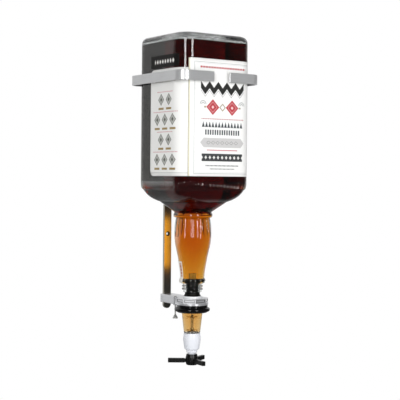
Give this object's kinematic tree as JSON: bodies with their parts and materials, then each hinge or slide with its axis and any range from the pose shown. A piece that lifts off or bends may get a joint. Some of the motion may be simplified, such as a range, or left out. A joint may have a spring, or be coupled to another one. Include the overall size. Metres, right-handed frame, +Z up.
{
  "type": "liquor optic dispenser",
  "caption": "Square spirit bottle held upside down in an open ring on a wall bar, its neck on a push-up spirit measure clamped in an octagonal gate holder.",
  "frame": {"origin": "on the wall plane, behind the back bar, half-way between the bar's two screw holes", "axes": "+Z up, -Y out from the wall to the front, +X to the right of someone who faces the wall; the bottle's axis is upright at X 0, Y -0.0795"},
  "size_m": [0.158, 0.1585, 0.5384],
  "materials": {
    "bar_metal": "satin",
    "ring_metal": "satin",
    "holder_metal": "satin",
    "screw_steel": "satin",
    "pin_steel": "polished",
    "bottle_glass": "clear",
    "spirit": "clear dark amber",
    "label_paper": "matte",
    "band_paper": "semi-gloss",
    "white_plastic": "semi-gloss",
    "black_plastic": "gloss",
    "black_rubber": "matte",
    "gum_rubber": "matte",
    "clear_plastic": "clear",
    "spring_steel": "bright"
  },
  "bodies": {
    "bracket": {"back_bar": "bar_metal", "clamp_screws": "screw_steel", "bottle_ring": "ring_metal", "holder_arm": "holder_metal", "bottle": "bottle_glass", "spirit_fill": "spirit", "front_label": "label_paper", "side_label": "label_paper", "band_label": "band_paper", "seat_washer": "white_plastic", "stopper": "black_rubber", "inlet_tube": "pin_steel", "optic_head": "black_plastic", "lock_ring": "black_plastic", "chamber_gasket": "black_rubber", "chamber": "clear_plastic", "measure_fill": "spirit", "nozzle_gasket": "gum_rubber", "nozzle_body": "white_plastic", "spout_seal": "black_rubber", "return_spring": "spring_steel"},
    "gate": {"gate": "holder_metal", "gate_pin": "pin_steel"},
    "plunger": {"spout": "white_plastic", "spindle": "pin_steel", "outlet_valve": "gum_rubber", "inlet_valve": "gum_rubber", "actuator": "black_plastic", "hub_clip": "screw_steel"}
  },
  "joints": [
    {"name": "plunger_lift", "type": "slide", "parent": "bracket", "child": "plunger", "axis": [0, 0, 1], "range_m": [0, 0.007], "stiffness_N_per_m": 400, "springref_m": -0.012, "deforming": ["return_spring"]},
    {"name": "gate_swing", "type": "hinge", "parent": "bracket", "child": "gate", "pos_m": [-0.0155, -0.0525, -0.2175], "axis": [0, 0, -1], "range_deg": [0, 100]}
  ]
}
